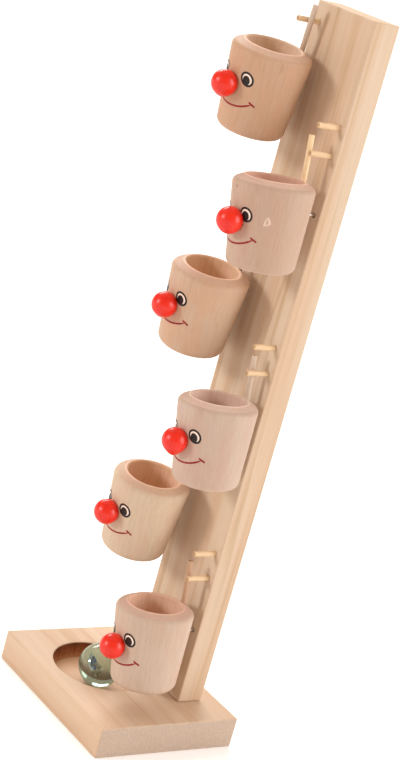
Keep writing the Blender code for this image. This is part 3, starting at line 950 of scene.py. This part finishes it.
def on_wall(across, height, proud):
    """A point on a cup's wall, given by the arc from its front and the height above the nail."""
    radius = wall_radius(height)
    turn = across / radius
    return ((radius + proud) * math.sin(turn), -(radius + proud) * math.cos(turn), height)


def lay_film(shape, rows, proud, slot, closed):
    """Lays a grid of (across, height) points on the wall as a thin closed film of ink."""
    tops = [[shape.verts.new(on_wall(*point, proud)) for point in row] for row in rows]
    feet = [[shape.verts.new(on_wall(*point, -INK_SINK)) for point in row] for row in rows]
    count = len(rows[0])
    spans = [(here, (here + 1) % count) for here in range(count if closed else count - 1)]
    faces = []
    for row, other in [*zip(tops, tops[1:]), *zip(feet, feet[1:]), (tops[0], feet[0]), (tops[-1], feet[-1])]:
        faces += [(row[here], row[there], other[there], other[here]) for here, there in spans]
    if not closed:
        for side in (0, -1):
            column = [(row[side], low[side]) for row, low in zip(tops, feet)]
            faces += [(*first, *reversed(second)) for first, second in zip(column, column[1:])]
    for corners in faces:
        face = shape.faces.new(corners)
        face.material_index = slot


print("ink reaches", INK_SINK / MM, "mm into the wood")

# %% [markdown]
# The eyes are ovals that lean towards the nose. The pupil sits low and close to the nose, so the white shows
# as a crescent on the outside. The printing wandered a little: each face is turned and raised by its own
# small amount.

# %% Ovals
OVAL_STEPS = 56


def oval(middle, long, short, lean):
    """An oval ring of points, its long axis leaning from upright."""
    points = []
    for turn in turns_of(OVAL_STEPS):
        along, aside = long * math.cos(turn), short * math.sin(turn)
        points.append((middle[0] + aside * math.cos(lean) + along * math.sin(lean),
                       middle[1] + along * math.cos(lean) - aside * math.sin(lean)))
    return points


def oval_rows(middle, outer, inner, lean, count):
    """Rings of an oval film, from its outer size (long, short) to its inner one."""
    shares = [index / count for index in range(count + 1)]
    sizes = [[out + (into - out) * share for out, into in zip(outer, inner)] for share in shares]
    return [oval(middle, *size, lean) for size in sizes]


print("points round an oval", OVAL_STEPS)

# %% Pen lines
SMILE_HALF = 13.2 * MM
SMILE_RISE = 4.0 * MM
LINE_STEPS = 40
PEN_END = 0.45  # share of a pen line's width at its very end
PEN_RUN = 0.1  # share of its length in which it grows to its full width


def line_rows(points, width):
    """Three rows of points along a pen line, thinner at its ends."""
    rows = [[], [], []]
    last = len(points) - 1
    for index, point in enumerate(points):
        before, after = points[max(index - 1, 0)], points[min(index + 1, last)]
        run = Vector((after[0] - before[0], after[1] - before[1])).normalized()
        from_end = min(index, last - index) / last
        half = width / 2 * (PEN_END + (1 - PEN_END) * min(1.0, from_end / PEN_RUN))
        for row, side in zip(rows, (-half, 0, half)):
            row.append((point[0] - run.y * side, point[1] + run.x * side))
    return rows


def smile_points(low):
    """The smile's arc, from one cheek to the other."""
    radius = (SMILE_HALF ** 2 + SMILE_RISE ** 2) / (2 * SMILE_RISE)
    reach = math.asin(SMILE_HALF / radius)
    turns = [reach * (2 * index / LINE_STEPS - 1) for index in range(LINE_STEPS + 1)]
    return [(radius * math.sin(turn), low + radius * (1 - math.cos(turn))) for turn in turns]


print("points along a smile", len(smile_points(0.0)))

# %% Faces
FACES = {  # degrees round the cup, then in mm how far up it is and how far from its middle each eye is
    1: (5.5, 0.6, -11.4, 8.1),
    2: (-4.3, -1.0, -9.7, 8.1),
    3: (-3.8, 1.3, -9.2, 8.1),
    4: (3.0, -0.6, -9.9, 8.2),
    5: (0.9, 0.0, -8.3, 8.3),
    6: (-0.9, 0.6, -9.2, 8.2),
}
EYE_HEIGHT = 0.8 * MM
EYE_LONG = 4.1 * MM
EYE_SHORT = 3.6 * MM
EYE_LINE = 1.1 * MM
EYE_LEAN = math.radians(52)
PUPIL_LONG = 2.45 * MM
PUPIL_SHORT = 2.1 * MM
PUPIL_LEAN = math.radians(15)
PUPIL_SHIFT = (-0.35 * MM, -0.75 * MM)  # towards the nose, and down
SMILE_LOW = -15.2 * MM
SMILE_LINE = 1.0 * MM
TICK_START = (11.7 * MM, 5.0 * MM)  # across, and above the smile's lowest point
TICK_END = (15.3 * MM, 3.2 * MM)
TICK_STEPS = 8
EYE_RINGS = 6
LINE_RINGS = 3
WHITE_PROUD = 0.03 * MM
SMILE_PROUD = 0.04 * MM
INK_PROUD = 0.05 * MM
DOT = (0.05 * MM, 0.05 * MM)  # the innermost ring of a filled oval
FACE_CREASE = 50


def add_face(number):
    """One printed face on its cup."""
    shape = bmesh.new()
    turn, up, *eyes = FACES[number]
    lift = up * MM
    for side, across in zip((-1, 1), eyes):
        middle = (across * MM, EYE_HEIGHT + lift)
        lean = -side * EYE_LEAN
        inside = (EYE_LONG - EYE_LINE, EYE_SHORT - EYE_LINE)
        pupil = (middle[0] + side * PUPIL_SHIFT[0], middle[1] + PUPIL_SHIFT[1])
        white = oval_rows(middle, inside, DOT, lean, EYE_RINGS)
        line = oval_rows(middle, (EYE_LONG, EYE_SHORT), inside, lean, LINE_RINGS)
        black = oval_rows(pupil, (PUPIL_LONG, PUPIL_SHORT), DOT, -side * PUPIL_LEAN, EYE_RINGS)
        lay_film(shape, white, WHITE_PROUD, 1, True)
        lay_film(shape, line, INK_PROUD, 0, True)
        lay_film(shape, black, INK_PROUD, 0, True)
        ends = [(side * part[0], SMILE_LOW + lift + part[1]) for part in (TICK_START, TICK_END)]
        shares = [step / TICK_STEPS for step in range(TICK_STEPS + 1)]
        tick = [[start + (end - start) * share for start, end in zip(*ends)] for share in shares]
        lay_film(shape, line_rows(tick, SMILE_LINE), INK_PROUD, 2, False)
    lay_film(shape, line_rows(smile_points(SMILE_LOW + lift), SMILE_LINE), SMILE_PROUD, 2, False)
    face = add_piece(f"face_{number}_print", shape, eye_black, eye_white, smile_red)
    face.matrix_world = cup_frames[number] @ Matrix.Rotation(math.radians(turn), 4, "Z")
    settle(face, FACE_CREASE)
    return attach(face, f"cup_{number}_body")


for number in CUP_NUMBERS:
    face = add_face(number)
    print(face.name, "faces", len(face.data.polygons))

# %% [markdown]
# ## Rods and pegs
# The stop rod in each cup's rim and the pegs in the board are cut from thin birch dowel. A saw leaves their
# ends flat with a broken edge, and a dowel is never quite round. A plain cylinder would look like plastic, so
# a stick is skinned over rings that wander a little.

# %% Birch
BIRCH_GRAIN = {"along": "Z", "pith": (0.0021, 0.0012, 0.0), "ring_gap": 0.0011, "ring_show": 0.3,
               "fibre_show": 0.35, "streak": 0.1, "rough": 0.5, "bump": 0.3}
BIRCH_TINTS = {
    "peg": ((232, 206, 168), (205, 165, 118), (228, 196, 156), (180, 141, 101)),
    # painted light: the pale birch is the peg birch made brighter, for rod 2, which stands in shade
    "pale": ((246, 220, 178), (222, 180, 128), (242, 210, 168), (200, 160, 116)),
    "grey": ((209, 192, 174), (180, 153, 130), (201, 179, 158), (186, 157, 132)),
    "dark": ((196, 161, 132), (159, 120, 91), (186, 147, 118), (161, 122, 93)),
}
birches = {}
for birch, tints in BIRCH_TINTS.items():
    birches[birch] = wood_finish(f"{birch}_birch", *tones(*tints), **BIRCH_GRAIN)
print("birches", list(birches))

# %% Rods and pegs
STICK_STEPS = 28
STICK_RINGS = 18
STICK_EDGE = 0.25 * MM
STICK_WANDER = 0.035
WANDER_ACROSS = 500
WANDER_ALONG = 60
# rod 2 takes the pale birch, which is painted light
ROD_BIRCH = {1: "grey", 2: "pale", 3: "dark", 4: "grey", 5: "dark", 6: "dark"}


def add_stick(name, node, body, birch, seed):
    """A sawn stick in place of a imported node."""
    place, length = along_node(node)
    half = length / 2
    heights = [-half, -half + STICK_EDGE]
    heights += [-half + length * step / STICK_RINGS for step in range(1, STICK_RINGS)]
    heights += [half - STICK_EDGE, half]
    rings = []
    for height in heights:
        at_end = abs(height) > half - STICK_EDGE / 2
        rings.append([])
        for x, y, z in ring_at(STICK_RADIUS - (STICK_EDGE if at_end else 0), height, STICK_STEPS):
            spot = Vector((x * WANDER_ACROSS, y * WANDER_ACROSS, z * WANDER_ALONG + 7 * seed))
            share = 1 - STICK_WANDER * abs(noise.noise(spot))
            rings[-1].append((x * share, y * share, z))
    stick = skin(name, rings, (0, 0, -half), (0, 0, half), birches[birch])
    stick.matrix_world = place
    settle(stick)
    return stand_for(stick, body, node)


for number in CUP_NUMBERS:
    add_stick(f"rod_{number}_dowel", f"stop_rod_{number}", f"cup_{number}_body", ROD_BIRCH[number], number)
    for kind in ("rest", "tip"):
        peg = f"{kind}_peg_{number}"
        add_stick(f"{peg}_dowel", peg, "stand", "peg", 10 * number + len(kind))
print("sticks", 3 * len(CUP_NUMBERS))

# %% [markdown]
# ## Nails and screws
# A round wire nail carries each cup: its flat head lies behind the board, grip marks are pressed into the
# shank under the head, and its point sits in the cup. Two countersunk wood screws hold the board from under
# the base. A nail is round all along, so it is turned. A thread isn't, so the screw is skinned over rings
# whose ridge moves on from one to the next, and a cross is cut into its head.

# %% Steel finish


def steel_finish(name, dark, light, rough):
    """Drawn steel, with fine scratches along it and a slight bloom."""
    finish, tree, shader, coords = new_finish(name)
    scratch = noise_along(tree, coords, 0.05, 5200.0, 2.0)
    bloom = noise_along(tree, coords, 1.0, 700.0, 3.0)
    colour = add_ramp(tree, bloom, [(0.3, dark), (0.7, light)])
    gloss = add_ramp(tree, scratch, [(0.3, rough), (0.7, rough + 0.2)])
    feed(tree, shader, {"Base Color": colour, "Metallic": 1.0, "Roughness": gloss,
                        "Normal": bumped(tree, scratch, 0.12, 0.1 * MM)})
    return finish


nail_steel = steel_finish("nail_steel", tone(196, 193, 190), tone(232, 230, 226), 0.26)
screw_steel = steel_finish("screw_steel", tone(176, 162, 118), tone(214, 200, 150), 0.3)
print("steels", nail_steel.name, screw_steel.name)

# %% Nails
NAIL_HEAD_RADIUS = 2.2 * MM
NAIL_HEAD = 0.9 * MM
NAIL_POINT = 3.0 * MM
NAIL_STEPS = 40
GRIP_MARKS = 5
GRIP_GAP = 0.7 * MM
GRIP_WAIST = 0.93 * NAIL_RADIUS
NECK_RADIUS = 1.12 * NAIL_RADIUS
HEAD_UNDER = 0.3 * MM
HEAD_OVER = 0.35 * MM


def nail_outline(length):
    """Half a nail, from its point up to its head."""
    top = length / 2
    under = top - NAIL_HEAD
    outline = [(0, -top), (0.25 * MM, -top + 0.35 * MM), (NAIL_RADIUS, -top + NAIL_POINT)]
    for mark in range(GRIP_MARKS, 0, -1):
        low = under - GRIP_GAP * mark
        outline += [(NAIL_RADIUS, low - 0.25 * MM), (GRIP_WAIST, low)]
    outline += [(NAIL_RADIUS, under - 0.35 * MM), (NECK_RADIUS, under)]
    outline += arc((NAIL_HEAD_RADIUS - HEAD_UNDER, under + HEAD_UNDER), HEAD_UNDER, -90, 0, 4)
    outline += arc((NAIL_HEAD_RADIUS - HEAD_OVER, top - 1.2 * HEAD_OVER), HEAD_OVER, 0, 80, 4)
    return outline + [(0.8 * MM, top), (0, top)]


def add_nail(number):
    """The nail that carries a cup, with its head behind the board."""
    node = f"pivot_nail_{number}"
    place, length = along_node(node)
    if place.col[2].y < 0:
        place = place @ Matrix.Rotation(math.pi, 4, "X")
    nail = turned(f"nail_{number}_wire", nail_outline(length), NAIL_STEPS, nail_steel)
    nail.matrix_world = place
    settle(nail)
    return stand_for(nail, f"cup_{number}_body", node)


for number in CUP_NUMBERS:
    add_nail(number)
print("nails", len(CUP_NUMBERS))

# %% Thread and cross
SCREW_CORE = 1.25 * MM
SCREW_PITCH = 1.8 * MM
SCREW_POINT = 5.0 * MM
TIP_SHARE = 0.06  # of the core's radius, at the last ring before the tip
SCREW_STEPS = 36
RIDGE_SLOPE = 3.2
CROSS_LONG = 3.6 * MM
CROSS_WIDE = 0.75 * MM
CROSS_DEEP = 1.4 * MM


def thread_ring(height, length):
    """A ring of the thread: a sharp ridge that winds up the core and tapers to the point."""
    to_point = min(1.0, (length - height) / SCREW_POINT)
    ring = []
    for turn in turns_of(SCREW_STEPS):
        phase = (height / SCREW_PITCH - turn / math.tau) % 1.0
        ridge = max(0.0, 1 - abs(phase - 0.5) * RIDGE_SLOPE)
        radius = (SCREW_CORE + (SCREW_RADIUS - SCREW_CORE) * ridge) * max(TIP_SHARE, to_point)
        ring.append((radius * math.cos(turn), radius * math.sin(turn), height))
    return ring


def cross_tool():
    """The driver's cross, as deep above the head's face as below it."""
    arm = [(CROSS_LONG, -CROSS_WIDE), (CROSS_LONG, CROSS_WIDE), (CROSS_WIDE, CROSS_WIDE)]
    levels = []
    for height in (-CROSS_DEEP, CROSS_DEEP):
        corners = [Vector((x / 2, y / 2, height)) for x, y in arm]
        quarters = [Matrix.Rotation(turn, 3, "Z") for turn in turns_of(4)]
        levels.append([quarter @ corner for quarter in quarters for corner in corners])
    return skin("cross_tool", levels, (0, 0, -CROSS_DEEP), (0, 0, CROSS_DEEP))


print("the thread turns once in", round(SCREW_PITCH / MM, 1), "mm")

# %% Screws
SCREW_TIP = 0.1 * MM
SCREW_NECK = 1.0 * MM
HEAD_EDGE = 0.15 * MM
PITCH_RINGS = 10


def add_screw(number):
    """A countersunk screw, head down, with a cross in its head."""
    node = f"board_screw_{number}"
    low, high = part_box(node)
    length = high.z - low.z
    neck = SCREW_HEAD + SCREW_NECK
    head = [(SCREW_HEAD_RADIUS - HEAD_EDGE, 0), (SCREW_HEAD_RADIUS, SCREW_RIM), (SCREW_RADIUS, SCREW_HEAD)]
    rings = [ring_at(radius, height, SCREW_STEPS) for radius, height in head]
    threaded = length - neck - SCREW_TIP
    count = int(threaded / (SCREW_PITCH / PITCH_RINGS))
    rings += [thread_ring(neck + threaded * step / count, length) for step in range(count + 1)]
    screw = skin(f"screw_{number}_cross_head", rings, (0, 0, 0), (0, 0, length), screw_steel)
    cut_away(screw, [cross_tool()])
    screw.matrix_world = Matrix.Translation(screw_foot(low, high))
    return stand_for(screw, "stand", node)


for number in (1, 2):
    print(add_screw(number).name)

# %% [markdown]
# ## The marble
# The marble is slightly milky green glass with twisted vanes of coloured glass inside. A glass shader bends
# the view of the recess through the ball. Each vane is a solid of its own: a lobed section that turns as it
# runs up through the glass. Two are a blue leaf and its white edge, the third a loose curl of amber.

# %% Glass finishes
GLASS_BEND = 1.55
GLASS_CLEAR = 0.88
marble_low, marble_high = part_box("marble")
marble_radius = (marble_high.z - marble_low.z) / 2
marble_place = Matrix.Translation((marble_low + marble_high) / 2)


def glass_finish():
    """Glass with a green cast, a faint milkiness and the odd streak."""
    finish, tree, shader, coords = new_finish("marble_glass")
    streak = noise_along(tree, coords, 0.3, 180.0, 2.0)
    colour = add_ramp(tree, streak, [(0.3, tone(184, 220, 202)), (0.7, tone(208, 235, 220))])
    feed(tree, shader, {"Base Color": colour, "Roughness": 0.02, "IOR": GLASS_BEND,
                        "Transmission Weight": GLASS_CLEAR})
    return finish


def vane_finish(name, colours):
    """Coloured glass, swirled from the first colour to the last."""
    finish, tree, shader, coords = new_finish(name)
    swirl = noise_along(tree, coords, 0.6, 760.0, 3.0)
    places = [0.32 + 0.36 * step / (len(colours) - 1) for step in range(len(colours))]
    colour = add_ramp(tree, swirl, list(zip(places, colours)))
    gloss = add_ramp(tree, swirl, [(0.3, 0.12), (0.7, 0.25)])
    feed(tree, shader, {"Base Color": colour, "Roughness": gloss})
    return finish


blue_glass = vane_finish("blue_glass", tones((4, 10, 50), (10, 34, 120), (34, 84, 170), (150, 190, 226)))
white_glass = vane_finish("white_glass", tones((206, 222, 236), (248, 250, 252), (255, 255, 255)))
amber_glass = vane_finish("amber_glass", tones((104, 74, 40), (160, 128, 84), (232, 218, 186)))
print("glasses", blue_glass.name, white_glass.name, amber_glass.name)

# %% Glass ball
MARBLE_STEPS = 96
MARBLE_RINGS = 64
marble = turned("marble_ball", ball_outline(marble_radius, steps=MARBLE_RINGS), MARBLE_STEPS, glass_finish())
marble.matrix_world = marble_place
settle(marble)
stand_for(marble, "marble_body", "marble")
print("marble radius in mm", round(marble_radius / MM, 2))

# %% Vanes
VANE_STEPS = 72
VANE_RINGS = 40
VANE_CORE = 0.22  # of the reach of its lobes
VANE_BLUNT = 0.02  # keeps a vane's ends from closing to a line
LOBE_POWER = 6  # a higher one makes thinner lobes
VANE_TIP = 1.02  # of half the vane's length
VANE_AXES = (Vector((0.536, 0.803, 0.259)), Vector((-0.43, -0.11, 0.90)))  # across a vane, and along it
VANES = {  # lobes, then shares of the marble's radius: reach, half length and place; then the twist in degrees
    "blue": (2, 0.10, 0.23, (-0.120, -0.155, -0.01), 110, blue_glass),
    "white": (2, 0.10, 0.27, (-0.235, -0.165, 0.0), 110, white_glass),
    "amber": (3, 0.19, 0.20, (0.0, -0.08, -0.15), 200, amber_glass),
}


def vane_ring(share, lobes, reach, half, twist):
    """A lobed section of a vane, at a share of its length from -1 to 1."""
    wide = reach * math.sqrt(max(VANE_BLUNT, 1 - share * share))
    core = VANE_CORE * wide
    ring = []
    for turn in turns_of(VANE_STEPS):
        lobe = max(0.0, math.cos(lobes * turn)) ** LOBE_POWER
        spread = core + (wide - core) * lobe
        swing = turn + twist * share / 2
        ring.append((spread * math.cos(swing), spread * math.sin(swing), share * half))
    return ring


def add_vane(name, lobes, reach, half, place, twist, finish):
    """One vane of coloured glass inside the marble."""
    reach, half = reach * marble_radius, half * marble_radius
    shares = [2 * step / VANE_RINGS - 1 for step in range(VANE_RINGS + 1)]
    rings = [vane_ring(share, lobes, reach, half, math.radians(twist)) for share in shares]
    vane = skin(f"marble_{name}_vane", rings, (0, 0, -VANE_TIP * half), (0, 0, VANE_TIP * half), finish)
    along = VANE_AXES[1].normalized()
    out = along.cross(VANE_AXES[0]).normalized()
    turn = Matrix((out.cross(along), out, along)).transposed().to_4x4()
    vane.matrix_world = marble_place @ Matrix.Translation(Vector(place) * marble_radius) @ turn
    settle(vane)
    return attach(vane, "marble_body")


for name, setting in VANES.items():
    print(add_vane(name, *setting).name)
